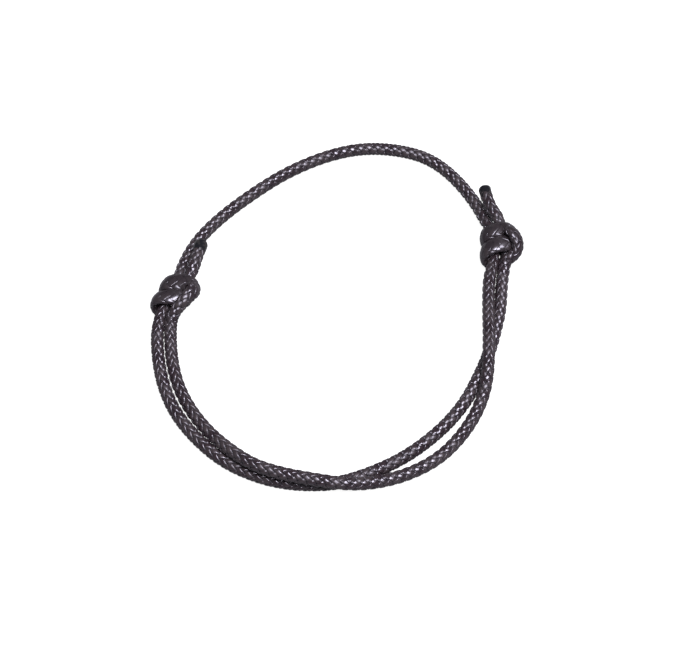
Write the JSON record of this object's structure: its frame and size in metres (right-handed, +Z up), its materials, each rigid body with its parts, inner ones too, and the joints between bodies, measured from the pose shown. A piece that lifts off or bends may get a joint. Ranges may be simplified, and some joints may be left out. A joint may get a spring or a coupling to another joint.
{
  "type": "sliding knot bracelet",
  "caption": "Adjustable cord bracelet: a loop of braided cord whose ends are knotted round each other's run, so that the knots slide to size it.",
  "frame": {"origin": "middle of the box round the bracelet as it lies flat, on the surface it lies on", "axes": "+X across the loop from the left knot to the right knot, +Y from the doubled near side to the single far side, +Z up from the surface"},
  "size_m": [0.0611, 0.0702, 0.0057],
  "materials": {
    "braided_cord": "waxed, satin",
    "melted_end": "melted and set, glossy"
  },
  "bodies": {
    "root": {"upper_cord": "braided_cord", "inner_strand": "braided_cord", "outer_strand": "braided_cord", "left_knot": "braided_cord", "right_knot": "braided_cord", "left_tail": "braided_cord", "right_tail": "braided_cord", "left_tail_tip": "melted_end", "right_tail_tip": "melted_end"}
  },
  "joints": []
}
